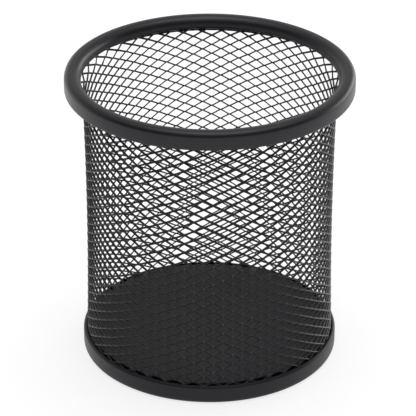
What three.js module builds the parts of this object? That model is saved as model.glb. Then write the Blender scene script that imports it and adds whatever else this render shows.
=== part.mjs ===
// A round pen holder cup: a slightly waisted wall of expanded steel sheet whose top edge bends
// outwards into a rolled rim ring, and whose bottom edge stands in a low base ring, round a
// raised floor disc.
//
// Millimetres, +Z up. The origin is on the cup's axis, on the surface that the cup stands on.

import * as THREE from 'three';

// Driving dimensions
const CUP_HEIGHT = 100;
const SEGMENTS = 96; // facets around the axis
const SHEET = 0.7; // steel sheet of the rim, base ring and floor
const GAP = 0.35; // clearance between two pieces that fit together

const RIM_RADIUS = 47.05; // outer face of the rim ring
const RIM_DEPTH = 5.9; // from the top of the rim ring to its lower edge
const RIM_ROLL = 2.65; // radius of the roll on the rim's inner side
const RIM_ROLL_CENTRE = 44.2; // distance of the roll's centre from the axis
const RIM_LIP_ANGLE = 205; // where the roll ends, in degrees from outwards, over the top
const RIM_TOP_CORNER = 1.9; // rounding of the rim's upper outer corner
const RIM_LOW_CORNER = 0.6; // rounding of the rim's lower outer corner
const RIM_HEM_RADIUS = 44.9; // inner edge of the rim's turned-in lower hem

const MESH_THICKNESS = 1.1; // across the tilted strands of the expanded sheet
const WAIST_RADIUS = 40.6; // outer radius of the mesh at its narrowest
const END_RADIUS = 41.3; // outer radius of the mesh where its flange begins
const WAIST_HEIGHT = 48.5;
const MESH_FOOT = 8; // the mesh is straight below this height, where it enters the base ring
const MESH_BOTTOM = 1.7; // height of the mesh's lower edge, clear of the base ring's corner
const FLANGE_START = 92.3; // height where the mesh begins to bend outwards
const FLANGE_BEND = 2.4; // bend radius at the middle of the mesh's thickness
const FLANGE_ANGLE = THREE.MathUtils.degToRad(45); // from upright
const FLANGE_EDGE = 44; // radius of the mesh's top edge, inside the rim's roll

const BASE_RADIUS = 42.45; // outer face of the base ring
const BASE_HEIGHT = 6.4; // height of the base ring's wall
const BASE_CORNER = 1.5; // rounding between the wall and the foot
const BASE_TOP_EDGE = 0.55; // rounding of the wall's upper outer edge
const FOOT_RADIUS = 37.5; // inner edge of the base ring's flat foot

const FLOOR_HEIGHT = 6.6; // top face of the floor disc
const FLOOR_CORNER = 0.9; // rounding of the floor disc's edge
const FLOOR_SKIRT_END = SHEET + GAP; // height of the lower edge of the floor disc's skirt

const COATING = { roughness: 0.4, metalness: 0 };

// Points on an arc, both ends included.
function arc(centreR, centreZ, radius, startDegrees, endDegrees, steps) {
  const points = [];
  for (let i = 0; i <= steps; i += 1) {
    const degrees = startDegrees + ((endDegrees - startDegrees) * i) / steps;
    const angle = THREE.MathUtils.degToRad(degrees);
    points.push([centreR + radius * Math.cos(angle), centreZ + radius * Math.sin(angle)]);
  }
  return points;
}

// Turns an outline in the radius-height half plane into a ring or a disc about +Z. The outline
// runs anticlockwise, with the radius to the right and the height upwards; it closes on itself,
// or starts and ends on the axis.
function turned(outline) {
  const startsOnAxis = outline[0][0] === 0;
  const closed = startsOnAxis ? outline : [...outline, outline[0]];
  const points = closed.map(([r, z]) => new THREE.Vector2(r, z));
  const geometry = new THREE.LatheGeometry(points, SEGMENTS);
  geometry.rotateX(Math.PI / 2);
  return geometry;
}

// Outer radius of the mesh wall below its flange: a shallow waist above a straight foot.
function meshRadius(height) {
  const rise = Math.max(height, MESH_FOOT) - WAIST_HEIGHT;
  const fromWaist = rise / (FLANGE_START - WAIST_HEIGHT);
  return WAIST_RADIUS + (END_RADIUS - WAIST_RADIUS) * fromWaist * fromWaist;
}

// The middle line of the mesh from its bottom edge to its top edge, with the line's direction
// from upright at each point, so that both faces can be offset from it.
function meshMiddle() {
  const wallAt = (z) => ({ r: meshRadius(z) - MESH_THICKNESS / 2, z, lean: 0 });
  const line = [wallAt(MESH_BOTTOM)];
  const wallSteps = 5;
  for (let i = 0; i <= wallSteps; i += 1) {
    line.push(wallAt(MESH_FOOT + ((FLANGE_START - MESH_FOOT) * i) / wallSteps));
  }
  const wallTop = line[line.length - 1].r;
  const bendSteps = 3;
  for (let i = 1; i <= bendSteps; i += 1) {
    const lean = (FLANGE_ANGLE * i) / bendSteps;
    const r = wallTop + FLANGE_BEND * (1 - Math.cos(lean));
    line.push({ r, z: FLANGE_START + FLANGE_BEND * Math.sin(lean), lean });
  }
  const bendEnd = line[line.length - 1];
  const rise = (FLANGE_EDGE - bendEnd.r) / Math.tan(FLANGE_ANGLE);
  line.push({ r: FLANGE_EDGE, z: bendEnd.z + rise, lean: FLANGE_ANGLE });
  return line;
}

// Expanded sheet rolled into a round wall, with its top edge flanged outwards.
function meshWall() {
  const half = MESH_THICKNESS / 2;
  const side = (sign) => ({ r, z, lean }) => [
    r + sign * half * Math.cos(lean),
    z - sign * half * Math.sin(lean),
  ];
  const middle = meshMiddle();
  const outer = middle.map(side(1));
  const inner = middle.map(side(-1)).reverse();
  return turned([...outer, ...inner]);
}

// A ring rolled from sheet: an upright outer band, a round inner side that ends in a free lip,
// and a turned-in lower hem. The mesh's flange enters between the lip and the hem.
function rimRing() {
  const rollHeight = CUP_HEIGHT - RIM_ROLL;
  const topArc = RIM_RADIUS - RIM_TOP_CORNER;
  const topArcHeight = CUP_HEIGHT - RIM_TOP_CORNER;
  const lowArc = RIM_RADIUS - RIM_LOW_CORNER;
  const bottom = CUP_HEIGHT - RIM_DEPTH;
  return turned([
    [RIM_HEM_RADIUS, bottom],
    ...arc(lowArc, bottom + RIM_LOW_CORNER, RIM_LOW_CORNER, -90, 0, 2),
    ...arc(topArc, topArcHeight, RIM_TOP_CORNER, 0, 90, 3),
    ...arc(RIM_ROLL_CENTRE, rollHeight, RIM_ROLL, 90, RIM_LIP_ANGLE, 6),
    ...arc(RIM_ROLL_CENTRE, rollHeight, RIM_ROLL - SHEET, RIM_LIP_ANGLE, 90, 4),
    ...arc(topArc, topArcHeight, RIM_TOP_CORNER - SHEET, 90, 0, 2),
    [RIM_RADIUS - SHEET, bottom + SHEET],
    [RIM_HEM_RADIUS, bottom + SHEET],
  ]);
}

// A ring of angle section: a low wall outside the mesh and a flat foot under it.
function baseRing() {
  const cornerArc = BASE_RADIUS - BASE_CORNER;
  const topArc = BASE_RADIUS - BASE_TOP_EDGE;
  return turned([
    [FOOT_RADIUS, 0],
    ...arc(cornerArc, BASE_CORNER, BASE_CORNER, -90, 0, 4),
    ...arc(topArc, BASE_HEIGHT - BASE_TOP_EDGE, BASE_TOP_EDGE, 0, 90, 2),
    [BASE_RADIUS - SHEET, BASE_HEIGHT],
    ...arc(cornerArc, BASE_CORNER, BASE_CORNER - SHEET, 0, -90, 2),
    [FOOT_RADIUS, SHEET],
  ]);
}

// A pressed disc with a raised flat floor, whose skirt stands inside the mesh.
function floorDisc() {
  const skirt = meshRadius(MESH_FOOT) - MESH_THICKNESS - GAP;
  const edge = skirt - FLOOR_CORNER;
  const arcHeight = FLOOR_HEIGHT - FLOOR_CORNER;
  return turned([
    [0, FLOOR_HEIGHT - SHEET],
    ...arc(edge, arcHeight, FLOOR_CORNER - SHEET, 90, 0, 2),
    [skirt - SHEET, FLOOR_SKIRT_END],
    [skirt, FLOOR_SKIRT_END],
    ...arc(edge, arcHeight, FLOOR_CORNER, 0, 90, 3),
    [0, FLOOR_HEIGHT],
  ]);
}

const PIECES = [
  { name: 'mesh_wall', geometry: meshWall(), color: 0x1c1c1e },
  { name: 'rim_ring', geometry: rimRing(), color: 0x2a2a2c },
  { name: 'base_ring', geometry: baseRing(), color: 0x242426 },
  { name: 'floor_disc', geometry: floorDisc(), color: 0x202022 },
];

const cup = new THREE.Group();
for (const { name, geometry, color } of PIECES) {
  const mesh = new THREE.Mesh(geometry, new THREE.MeshStandardMaterial({ color, ...COATING }));
  mesh.name = name;
  cup.add(mesh);
}

export default cup;
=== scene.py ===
"""A round pen holder cup of black powder-coated steel: an open wall of expanded mesh between a
wide rim ring and a low base ring, with a raised solid floor. It stands on a pale studio floor."""

import math

import bpy
import numpy as np
from mathutils import Matrix, Vector


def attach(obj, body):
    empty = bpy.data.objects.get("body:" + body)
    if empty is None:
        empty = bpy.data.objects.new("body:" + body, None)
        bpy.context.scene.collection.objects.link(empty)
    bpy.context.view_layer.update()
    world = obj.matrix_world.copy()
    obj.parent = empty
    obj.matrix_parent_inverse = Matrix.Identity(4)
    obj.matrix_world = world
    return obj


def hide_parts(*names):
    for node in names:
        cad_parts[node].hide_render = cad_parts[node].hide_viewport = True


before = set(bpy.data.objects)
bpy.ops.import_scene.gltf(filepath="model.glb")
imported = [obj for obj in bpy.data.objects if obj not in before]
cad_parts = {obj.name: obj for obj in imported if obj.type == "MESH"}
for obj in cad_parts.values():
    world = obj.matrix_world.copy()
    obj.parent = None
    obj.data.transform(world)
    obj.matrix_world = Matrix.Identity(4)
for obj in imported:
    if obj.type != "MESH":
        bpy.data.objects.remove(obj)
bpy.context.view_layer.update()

MM = 0.001
TURN = 2 * math.pi
RING_SEGMENTS = 240

# Sheet and rings, in millimetres. Unlike in the plain CAD solids, the free edges are rounded, the
# base ring's wall is folded in at its top, and the floor disc is wider with a sharper edge.
SHEET = 0.7
RIM_RADIUS = 47.05
RIM_TOP = 100.0
RIM_BOTTOM = 94.1
RIM_ROLL = 2.65
RIM_ROLL_CENTRE = 44.2
RIM_LIP_ANGLE = 205
RIM_TOP_CORNER = 1.9
RIM_LOW_CORNER = 0.6
RIM_HEM_RADIUS = 44.9
RIM_HEM_RISE = 0.1  # the hem's upper face slopes up to the rim's wall by this much

BASE_RADIUS = 42.45
BASE_HEIGHT = 6.4
BASE_CORNER = 1.5
BASE_WALL_TOP = 1.1  # the wall's top edge is folded in, so it is thicker than the sheet
BASE_FOLD_EDGE = 0.15
BASE_FOLD_DEPTH = 1.8  # how far down the wall keeps that thickness
FOOT_RADIUS = 37.5

FLOOR_HEIGHT = 6.6
FLOOR_RADIUS = 40.1
FLOOR_CORNER = 0.3
FLOOR_INNER_CORNER = 0.05
FLOOR_SKIRT_END = 1.05
FLOOR_LOOPS = (0.66, 0.33)  # circles that divide the flat floor, as shares of its radius

# The expanded mesh, in millimetres
WAIST_RADIUS = 40.22  # middle of the mesh at its narrowest
END_WIDENING = 0.7  # added to that radius where the flange starts
WAIST_HEIGHT = 48.5
MESH_FOOT = 8.0  # the mesh is straight below this height
FLANGE_START = 92.5
FLANGE_BEND = 2.4
FLANGE_LEAN = math.radians(45)
FLANGE_EDGE = 43.9
MESH_BOTTOM = 1.8

CELLS = 41  # openings in one row round the cup
CELL_HEIGHT = 3.2247
ROWS_LOST_PER_TURN = 3  # the rows wind down round the cup by this many cells a turn
COLUMNS = 2 * CELLS  # columns of bonds
WINDING = 2 * ROWS_LOST_PER_TURN  # strands by which the winding moves in one turn
SPARE_STRANDS = 2  # laid out beyond each edge of the wall, and cut away there
FRONT_AZIMUTH = -math.pi / 2 + 0.1874  # a column of bonds near the front
FRONT_HEIGHT = 42.534  # one bond in that column
COLUMN_DRIFT = 0.334  # unevenness of the rolled sheet, in columns
ROW_DRIFT = -0.194  # and in millimetres of height
COLUMN_SWAY = 0.06  # the same, from side to side
ROW_SWAY = -0.077
STRAY_SEED = 7
STRAY_HEIGHT = 0.035  # random unevenness of the bonds, in millimetres
STRAY_AZIMUTH = 0.0008
STRAY_TILT = math.radians(1.5)
STRAND_WIDTH = 0.72
STRAND_THICKNESS = 0.45
STRAND_TILT = math.radians(38)  # strands slope down and outwards, from the horizontal
BOND_OFFSET = 0.07  # half of the distance between two strands where they join
BOND_HALF_LENGTH = 0.18
STRAND_ROUNDING = 0.12

# The powder coat: soft clouds, fine grain and orange peel, each with its number of cycles per
# metre and its amount of finer detail
CLOUDS = (60.0, 3.0)
GRAIN = (3200.0, 2.0)
PEEL = (900.0, 1.0)
GRAIN_IN_COLOUR = 0.5  # weight of the grain next to the clouds
GRAIN_IN_RELIEF = 0.25  # and next to the orange peel
COLOUR_STOPS = (0.45, 1.0)  # where the darkest and the lightest colours are reached
PEEL_STRENGTH = 0.25
PEEL_DEPTH = 0.00002  # metres
COAT_IOR = 1.46
COAT_TINT = (0.95, 0.94, 1.0, 1)
STRAND_COLOURS = ((0.006, 0.006, 0.007), (0.010, 0.010, 0.0115))  # darkest and lightest
RING_COLOURS = ((0.002, 0.002, 0.003), (0.006, 0.006, 0.008))
FLOOR_COLOURS = ((0.005, 0.005, 0.0057), (0.010, 0.010, 0.0114))
BASE_IOR = 1.40
STRAND_ROUGHNESS = 0.36
RIM_ROUGHNESS = 0.34
BASE_ROUGHNESS = 0.40
FLOOR_ROUGHNESS = 0.45
SMOOTHER, ROUGHER = 0.04, 0.05  # how far the clouds change the roughness each way
CLOUD_RANGE = (0.3, 0.7)
PLAIN_SHINE = 0.5  # reflection of the coat between the bonds
BOND_SHINE = 1.0  # and on them
BOND_POLISH = 0.18  # how much less rough the coat is on the bonds

# Unevenness of the rings in millimetres, as waves: number round the ring, weight and phase
RIM_WOBBLE = 0.03
RIM_WAVES = ((3, 1, 0.4), (7, 0.6, 2.0), (13, 0.4, 1.1))
BASE_WOBBLE = 0.025
BASE_WAVES = ((2, 1, 1.0), (5, 0.6, 0.3), (11, 0.4, 2.2))

# The studio, in metres; the lights face the middle of the cup
LIGHT_TARGET = (0, 0, 0.05)
OVERHEAD_PLACE = (0.1, 0.1, 1.6)
OVERHEAD_SIZE = (1.1, 1.0)
OVERHEAD_POWER = 5
RIGHT_PLACE = (1.3, 1.05, 0.38)
RIGHT_SIZE = (1.4, 0.7)
RIGHT_POWER = 7
STUDIO_FLOOR_HALF = 6.0
STUDIO_FLOOR_GREY = 0.35
STUDIO_FLOOR_GLOW = 0.75
STUDIO_FLOOR_ROUGHNESS = 0.9

# Brightness of the room against the height of the direction, from level to straight up: pale at
# the horizon, dark on the camera's side, brighter behind the cup and bright overhead
ROOM_LEVELS = ((0.0, 0.95), (0.08, 0.85), (0.14, 0.2), (0.66, 0.22), (0.86, 0.8), (0.95, 1.05))
BACKDROP_LEVELS = ((0.0, 0.95), (0.12, 0.95), (0.4, 0.5), (0.75, 0.5), (0.95, 1.05))
BACKDROP_BLEND = ((0.0, 0.0), (0.3, 1.0))  # share of the backdrop against the depth

CAMERA_PLACE = (0, -0.7668, 0.4527)
CAMERA_LENS = 226.5  # millimetres
CAMERA_SENSOR = 36
CAMERA_CLIP = (0.01, 50)  # metres
CAMERA_PITCH = math.radians(27.72)
CAMERA_YAW = math.radians(0.038)
CAMERA_ROLL = math.radians(0.087)


# ---------------------------------------------------------------- turned rings


def arc(centre_r, centre_z, radius, start, end, steps):
    """Points on an arc in the radius-height plane; angles in degrees."""
    angles = np.radians(np.linspace(start, end, steps + 1))
    return [
        (centre_r + radius * math.cos(a), centre_z + radius * math.sin(a))
        for a in angles
    ]


def mesh_object(name, vertices, faces):
    mesh = bpy.data.meshes.new(name)
    mesh.from_pydata([tuple(v) for v in vertices], [], faces)
    mesh.validate()
    mesh.update()
    mesh.shade_smooth()
    obj = bpy.data.objects.new(name, mesh)
    bpy.context.scene.collection.objects.link(obj)
    return obj


def spun_points(profile, wobble, waves):
    """The outline's points at every angle round the axis, with a slightly uneven radius."""
    angles = np.arange(RING_SEGMENTS) * TURN / RING_SEGMENTS
    swell = np.zeros(RING_SEGMENTS)
    for number, weight, phase in waves:
        swell += wobble * weight * np.cos(number * angles + phase)
    radius = profile[None, :, 0] + np.reshape(swell, (-1, 1))
    return np.stack(
        [
            radius * np.cos(angles)[:, None],
            radius * np.sin(angles)[:, None],
            np.broadcast_to(profile[None, :, 1], radius.shape),
        ],
        axis=-1,
    ).reshape(-1, 3)


def spun_faces(count, links):
    """Faces that join the outline at each angle to the outline at the next."""
    faces = []
    for i in range(RING_SEGMENTS):
        j = (i + 1) % RING_SEGMENTS
        for k in range(links):
            m = (k + 1) % count
            faces.append((i * count + k, j * count + k, j * count + m, i * count + m))
    return faces


def axis_faces(count):
    """Triangles from both ends of the outline to the two points on the axis."""
    first = RING_SEGMENTS * count
    last = count - 1
    faces = []
    for i in range(RING_SEGMENTS):
        j = (i + 1) % RING_SEGMENTS
        faces.append((first, j * count, i * count))
        faces.append((i * count + last, j * count + last, first + 1))
    return faces


def turned(name, outline, wobble=0.0, waves=()):
    """A closed ring, or a disc where the outline starts and ends on the axis."""
    profile = np.array(outline)
    on_axis = profile[0][0] == 0
    inner = profile[1:-1] if on_axis else profile
    count = len(inner)
    vertices = spun_points(inner, wobble, waves)
    faces = spun_faces(count, count - 1 if on_axis else count)
    if on_axis:
        ends = [(0, 0, profile[0][1]), (0, 0, profile[-1][1])]
        vertices = np.vstack([vertices, ends])
        faces += axis_faces(count)
    return mesh_object(name, vertices * MM, faces)


def rim_outline():
    top_arc = RIM_RADIUS - RIM_TOP_CORNER
    top_height = RIM_TOP - RIM_TOP_CORNER
    low_arc = RIM_RADIUS - RIM_LOW_CORNER
    roll_height = RIM_TOP - RIM_ROLL
    hem = SHEET / 2
    lip = math.radians(RIM_LIP_ANGLE)
    lip_middle = RIM_ROLL - hem
    lip_r = RIM_ROLL_CENTRE + lip_middle * math.cos(lip)
    lip_z = roll_height + lip_middle * math.sin(lip)
    return [
        *arc(RIM_HEM_RADIUS, RIM_BOTTOM + hem, hem, 180, 270, 3),
        *arc(low_arc, RIM_BOTTOM + RIM_LOW_CORNER, RIM_LOW_CORNER, -90, 0, 6),
        *arc(top_arc, top_height, RIM_TOP_CORNER, 0, 90, 8),
        *arc(RIM_ROLL_CENTRE, roll_height, RIM_ROLL, 90, RIM_LIP_ANGLE, 18),
        *arc(lip_r, lip_z, hem, RIM_LIP_ANGLE + 30, RIM_LIP_ANGLE + 150, 4),
        *arc(RIM_ROLL_CENTRE, roll_height, RIM_ROLL - SHEET, RIM_LIP_ANGLE, 90, 10),
        *arc(top_arc, top_height, RIM_TOP_CORNER - SHEET, 90, 0, 4),
        (RIM_RADIUS - SHEET, RIM_BOTTOM + SHEET + RIM_HEM_RISE),
        *arc(RIM_HEM_RADIUS, RIM_BOTTOM + hem, hem, 90, 180, 3)[:-1],
    ]


def base_outline():
    corner_arc = BASE_RADIUS - BASE_CORNER
    fold_arc = BASE_WALL_TOP - BASE_FOLD_EDGE
    fold_r, fold_z = BASE_RADIUS - fold_arc, BASE_HEIGHT - fold_arc
    foot = SHEET / 2
    return [
        *arc(FOOT_RADIUS + foot, foot, foot, 180, 270, 3),
        *arc(corner_arc, BASE_CORNER, BASE_CORNER, -90, 0, 10),
        *arc(fold_r, fold_z, fold_arc, 0, 90, 10),
        *arc(fold_r, BASE_HEIGHT - BASE_FOLD_EDGE, BASE_FOLD_EDGE, 90, 180, 3)[1:],
        (BASE_RADIUS - BASE_WALL_TOP, BASE_HEIGHT - BASE_FOLD_DEPTH),
        *arc(corner_arc, BASE_CORNER, BASE_CORNER - SHEET, 0, -90, 4),
        *arc(FOOT_RADIUS + foot, foot, foot, 90, 180, 3)[:-1],
    ]


def floor_outline():
    shoulder = FLOOR_RADIUS - FLOOR_CORNER
    height = FLOOR_HEIGHT - FLOOR_CORNER
    inset = SHEET + FLOOR_INNER_CORNER
    return [
        (0, FLOOR_HEIGHT - SHEET),
        *arc(FLOOR_RADIUS - inset, FLOOR_HEIGHT - inset, FLOOR_INNER_CORNER, 90, 0, 2),
        (FLOOR_RADIUS - SHEET, FLOOR_SKIRT_END),
        (FLOOR_RADIUS, FLOOR_SKIRT_END),
        *arc(shoulder, height, FLOOR_CORNER, 0, 90, 8),
        *[(shoulder * share, FLOOR_HEIGHT) for share in FLOOR_LOOPS],
        (0, FLOOR_HEIGHT),
    ]


# ---------------------------------------------------------------- expanded mesh


def meridian(u):
    """Radius, height and lean of the mesh's middle at a distance u up its surface."""
    wall = np.minimum(u, FLANGE_START)
    from_waist = np.maximum(wall, MESH_FOOT) - WAIST_HEIGHT
    from_waist = from_waist / (FLANGE_START - WAIST_HEIGHT)
    radius = WAIST_RADIUS + END_WIDENING * from_waist**2
    lean = np.clip((u - FLANGE_START) / FLANGE_BEND, 0, FLANGE_LEAN)
    straight = np.maximum(u - FLANGE_START - FLANGE_BEND * FLANGE_LEAN, 0)
    radius = radius + FLANGE_BEND * (1 - np.cos(lean)) + straight * math.sin(FLANGE_LEAN)
    height = wall + FLANGE_BEND * np.sin(lean) + straight * math.cos(FLANGE_LEAN)
    return radius, height, lean


def mesh_top():
    """Distance up the surface at which the flange reaches its edge radius."""
    bend_end = FLANGE_START + FLANGE_BEND * FLANGE_LEAN
    return bend_end + (FLANGE_EDGE - meridian(np.array(bend_end))[0]) / math.sin(FLANGE_LEAN)


def lattice(top):
    """For each strand at each column of bonds: its distance up the surface, azimuth and tilt,
    and the side of the bond on which it lies."""
    rng = np.random.default_rng(STRAY_SEED)
    half_row = CELL_HEIGHT / 2
    k = np.arange(COLUMNS)
    turn = k * TURN / COLUMNS
    drift, sway = 1 - np.cos(turn), np.sin(turn)
    azimuth = FRONT_AZIMUTH + turn
    azimuth = azimuth + (COLUMN_SWAY * sway - COLUMN_DRIFT * drift) * TURN / COLUMNS
    fall = ROW_DRIFT * drift + ROW_SWAY * sway - turn / TURN * WINDING * half_row

    lowest = -math.ceil(FRONT_HEIGHT / half_row) - SPARE_STRANDS
    highest = math.ceil((top - FRONT_HEIGHT) / half_row) + WINDING + SPARE_STRANDS
    j = np.arange(lowest, highest)[:, None]
    count = len(j)
    stray_u = rng.normal(0, STRAY_HEIGHT, (count + 1, COLUMNS))
    stray_turn = rng.normal(0, STRAY_AZIMUTH, (count + 1, COLUMNS))
    stray_tilt = rng.normal(0, STRAY_TILT, (count + 1, COLUMNS))

    low = (j + k[None, :]) % 2 == 0  # the strand is on its lower bond here
    index = np.arange(count)[:, None] + np.where(low, 0, 1)
    column = np.broadcast_to(k[None, :], index.shape)
    u = FRONT_HEIGHT + half_row * (j + np.where(low, 0, 1)) + fall + stray_u[index, column]
    theta = azimuth[None, :] + stray_turn[index, column]
    tilt = STRAND_TILT + stray_tilt[index, column]
    side = np.where(low, -1.0, 1.0) * BOND_OFFSET
    return u, theta, tilt, side


def strand_section():
    """A strand's cross-section: a rectangle with its corners cut off."""
    a, b, c = STRAND_WIDTH / 2, STRAND_THICKNESS / 2, STRAND_ROUNDING
    return np.array(
        [
            (a, -b + c),
            (a, b - c),
            (a - c, b),
            (-a + c, b),
            (-a, b - c),
            (-a, -b + c),
            (-a + c, -b),
            (a - c, -b),
        ]
    )


def section_points(u, theta, tilt, side):
    """The section of each strand at both ends of each bond."""
    radius, height, lean = meridian(u)
    section = strand_section()
    along = side[..., None] + section[:, 0]
    across = section[:, 1]
    down_r = (np.cos(tilt) * np.cos(lean) - np.sin(tilt) * np.sin(lean))[..., None]
    down_z = (-np.cos(tilt) * np.sin(lean) - np.sin(tilt) * np.cos(lean))[..., None]
    r = radius[..., None] + along * down_r - across * down_z
    z = height[..., None] + along * down_z + across * down_r
    points = np.empty((*u.shape, 2, len(section), 3))
    for end, sign in enumerate((-1, 1)):
        angle = theta[..., None] + sign * BOND_HALF_LENGTH / radius[..., None]
        points[:, :, end, :, 0] = r * np.cos(angle)
        points[:, :, end, :, 1] = r * np.sin(angle)
        points[:, :, end, :, 2] = z
    return points


def strand_faces(inside, ring):
    """Faces along every strand, with caps at its ends, and whether each one is on a bond."""
    count = len(inside)
    faces = []
    on_bond = []
    capped = {}

    def first_vertex(row, col, end):
        return ((row * COLUMNS + col) * 2 + end) * ring

    def link(start, finish, bond):
        on_bond.extend([bond] * ring)
        for n in range(ring):
            m = (n + 1) % ring
            faces.append((start + n, start + m, finish + m, finish + n))
        capped[start] = capped.get(start, 0) + 1
        capped[finish] = capped.get(finish, 0) - 1

    for row in range(count):
        for col in range(COLUMNS):
            if not inside[row, col]:
                continue
            link(first_vertex(row, col, 0), first_vertex(row, col, 1), 1.0)
            next_col = (col + 1) % COLUMNS
            next_row = row if next_col else row - WINDING
            if 0 <= next_row < count and inside[next_row, next_col]:
                link(first_vertex(row, col, 1), first_vertex(next_row, next_col, 0), 0.0)
    for start, balance in capped.items():
        if balance:
            loop = [start + n for n in range(ring)]
            faces.append(tuple(reversed(loop)) if balance > 0 else tuple(loop))
            on_bond.append(0.0)
    return faces, on_bond


def expanded_mesh():
    """Strands that zigzag round the cup; each joins the strand above at one column of bonds
    and the strand below at the next."""
    top = mesh_top()
    u, theta, tilt, side = lattice(top)
    points = section_points(u, theta, tilt, side)
    faces, on_bond = strand_faces((u > MESH_BOTTOM) & (u < top), points.shape[3])

    vertices = points.reshape(-1, 3)
    used = np.zeros(len(vertices), bool)
    used[[v for f in faces for v in f]] = True
    new_index = np.cumsum(used) - 1
    faces = [tuple(int(new_index[v]) for v in f) for f in faces]
    obj = mesh_object("mesh_strands", vertices[used] * MM, faces)
    bond = obj.data.attributes.new("bond", "FLOAT", "FACE")
    bond.data.foreach_set("value", on_bond)
    return obj


# ---------------------------------------------------------------- materials


def noise(tree, place, scale, detail):
    node = tree.nodes.new("ShaderNodeTexNoise")
    node.inputs["Scale"].default_value = scale
    node.inputs["Detail"].default_value = detail
    tree.links.new(place, node.inputs["Vector"])
    return node.outputs["Fac"]


def multiply_add(tree, source, factor, addend):
    node = tree.nodes.new("ShaderNodeMath")
    node.operation = "MULTIPLY_ADD"
    node.inputs[1].default_value = factor
    tree.links.new(source, node.inputs[0])
    tree.links.new(addend, node.inputs[2])
    return node.outputs[0]


def map_range(tree, source, before, after):
    node = tree.nodes.new("ShaderNodeMapRange")
    node.inputs["From Min"].default_value, node.inputs["From Max"].default_value = before
    node.inputs["To Min"].default_value, node.inputs["To Max"].default_value = after
    tree.links.new(source, node.inputs["Value"])
    return node.outputs["Result"]


def coat_colour(tree, level, colours):
    ramp = tree.nodes.new("ShaderNodeValToRGB")
    for stop, position, colour in zip(ramp.color_ramp.elements, COLOUR_STOPS, colours):
        stop.position = position
        stop.color = (*colour, 1)
    tree.links.new(level, ramp.inputs["Fac"])
    return ramp.outputs["Color"]


def coat_relief(tree, height):
    bumps = tree.nodes.new("ShaderNodeBump")
    bumps.inputs["Strength"].default_value = PEEL_STRENGTH
    bumps.inputs["Distance"].default_value = PEEL_DEPTH
    tree.links.new(height, bumps.inputs["Height"])
    return bumps.outputs["Normal"]


def powder_coat(name, colours, roughness, ior=COAT_IOR):
    """Black powder coat: slight colour variation, orange peel and a fine grain."""
    material = bpy.data.materials.new(name)
    material.use_nodes = True
    tree = material.node_tree
    shader = tree.nodes["Principled BSDF"]
    place = tree.nodes.new("ShaderNodeTexCoord").outputs["Object"]
    clouds, grain, peel = (noise(tree, place, *kind) for kind in (CLOUDS, GRAIN, PEEL))
    shade = multiply_add(tree, grain, GRAIN_IN_COLOUR, clouds)
    height = multiply_add(tree, grain, GRAIN_IN_RELIEF, peel)
    spread = (roughness - SMOOTHER, roughness + ROUGHER)
    for socket, source in (
        ("Base Color", coat_colour(tree, shade, colours)),
        ("Roughness", map_range(tree, clouds, CLOUD_RANGE, spread)),
        ("Normal", coat_relief(tree, height)),
    ):
        tree.links.new(source, shader.inputs[socket])
    shader.inputs["IOR"].default_value = ior
    shader.inputs["Specular Tint"].default_value = COAT_TINT
    return material


def polish_bonds(material):
    """The bonds are pressed flat and take the coat more evenly, so they are glossier."""
    tree = material.node_tree
    shader = tree.nodes["Principled BSDF"]
    bond = tree.nodes.new("ShaderNodeAttribute")
    bond.attribute_name = "bond"
    shine = map_range(tree, bond.outputs["Fac"], (0.0, 1.0), (PLAIN_SHINE, BOND_SHINE))
    tree.links.new(shine, shader.inputs["Specular IOR Level"])
    plain = shader.inputs["Roughness"].links[0].from_socket
    polished = multiply_add(tree, bond.outputs["Fac"], -BOND_POLISH, plain)
    tree.links.new(polished, shader.inputs["Roughness"])


def studio_white(name, grey, glow):
    """A matt pale surface that also glows a little, as a lit table does."""
    material = bpy.data.materials.new(name)
    material.use_nodes = True
    shader = material.node_tree.nodes["Principled BSDF"]
    shader.inputs["Base Color"].default_value = (grey, grey, grey, 1)
    shader.inputs["Roughness"].default_value = STUDIO_FLOOR_ROUGHNESS
    shader.inputs["Emission Color"].default_value = (1, 1, 1, 1)
    shader.inputs["Emission Strength"].default_value = glow
    return material


# ---------------------------------------------------------------- the cup

strand_coat = powder_coat("strand_coat", STRAND_COLOURS, STRAND_ROUGHNESS)
rim_coat = powder_coat("rim_coat", RING_COLOURS, RIM_ROUGHNESS)
base_coat = powder_coat("base_coat", RING_COLOURS, BASE_ROUGHNESS, BASE_IOR)
floor_coat = powder_coat("floor_coat", FLOOR_COLOURS, FLOOR_ROUGHNESS)
polish_bonds(strand_coat)

strands = expanded_mesh()
rim = turned("rim_ring_coated", rim_outline(), RIM_WOBBLE, RIM_WAVES)
base = turned("base_ring_coated", base_outline(), BASE_WOBBLE, BASE_WAVES)
disc = turned("floor_disc_coated", floor_outline())

for piece, node, material, slot in (
    (strands, "mesh_wall", strand_coat, "mesh_coat"),
    (rim, "rim_ring", rim_coat, "rim_coat"),
    (base, "base_ring", base_coat, "base_coat"),
    (disc, "floor_disc", floor_coat, "floor_coat"),
):
    piece.data.materials.append(material)
    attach(piece, "root")
    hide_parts(node)


# ---------------------------------------------------------------- studio


def area_light(name, place, size, power):
    light = bpy.data.lights.new(name, "AREA")
    light.shape = "RECTANGLE"
    light.size, light.size_y = size
    light.energy = power
    obj = bpy.data.objects.new(name, light)
    bpy.context.scene.collection.objects.link(obj)
    obj.location = place
    obj.rotation_mode = "QUATERNION"
    direction = Vector(LIGHT_TARGET) - Vector(place)
    obj.rotation_quaternion = direction.to_track_quat("-Z", "Y")
    obj.visible_camera = False


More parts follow.
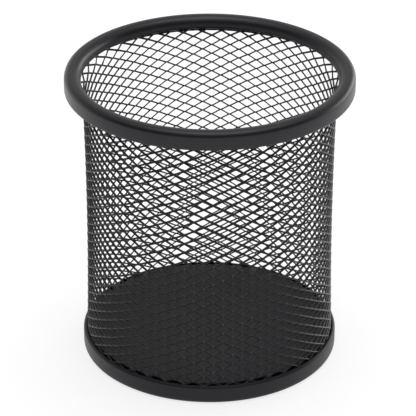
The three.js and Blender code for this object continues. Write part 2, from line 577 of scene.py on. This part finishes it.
def grey_ramp(tree, source, stops):
    """A grey level that depends on one coordinate of the direction."""
    ramp = tree.nodes.new("ShaderNodeValToRGB")
    first, last = ramp.color_ramp.elements
    first.position, last.position = stops[0][0], stops[-1][0]
    first.color = (*[stops[0][1]] * 3, 1)
    last.color = (*[stops[-1][1]] * 3, 1)
    for position, level in stops[1:-1]:
        ramp.color_ramp.elements.new(position).color = (*[level] * 3, 1)
    tree.links.new(source, ramp.inputs["Fac"])
    return ramp.outputs["Color"]


def studio_world():
    world = bpy.data.worlds.new("studio")
    bpy.context.scene.world = world
    world.use_nodes = True
    tree = world.node_tree
    coords = tree.nodes.new("ShaderNodeTexCoord")
    split = tree.nodes.new("ShaderNodeSeparateXYZ")
    tree.links.new(coords.outputs["Generated"], split.inputs[0])
    both = tree.nodes.new("ShaderNodeMixRGB")
    for target, axis, stops in (
        ("Fac", "Y", BACKDROP_BLEND),
        ("Color1", "Z", ROOM_LEVELS),
        ("Color2", "Z", BACKDROP_LEVELS),
    ):
        tree.links.new(grey_ramp(tree, split.outputs[axis], stops), both.inputs[target])
    tree.links.new(both.outputs["Color"], tree.nodes["Background"].inputs["Color"])


def studio_camera():
    """Level across, pitched down at the cup, with a long lens."""
    data = bpy.data.cameras.new("camera")
    data.sensor_width = CAMERA_SENSOR
    data.lens = CAMERA_LENS
    data.clip_start, data.clip_end = CAMERA_CLIP
    camera = bpy.data.objects.new("camera", data)
    bpy.context.scene.collection.objects.link(camera)
    camera.location = CAMERA_PLACE
    heading = Matrix.Rotation(CAMERA_YAW, 3, "Z")
    pitch = Matrix.Rotation(math.pi / 2 - CAMERA_PITCH, 3, "X")
    roll = Matrix.Rotation(CAMERA_ROLL, 3, "Z")
    camera.rotation_euler = (heading @ pitch @ roll).to_euler()
    bpy.context.scene.camera = camera


half = STUDIO_FLOOR_HALF
studio_floor = mesh_object(
    "studio_floor",
    [(-half, -half, 0), (half, -half, 0), (half, half, 0), (-half, half, 0)],
    [(0, 1, 2, 3)],
)
studio_floor.data.materials.append(
    studio_white("studio_white", STUDIO_FLOOR_GREY, STUDIO_FLOOR_GLOW)
)
area_light("overhead_softbox", OVERHEAD_PLACE, OVERHEAD_SIZE, OVERHEAD_POWER)
area_light("right_softbox", RIGHT_PLACE, RIGHT_SIZE, RIGHT_POWER)
studio_world()
studio_camera()
bpy.context.scene.view_settings.view_transform = "Standard"
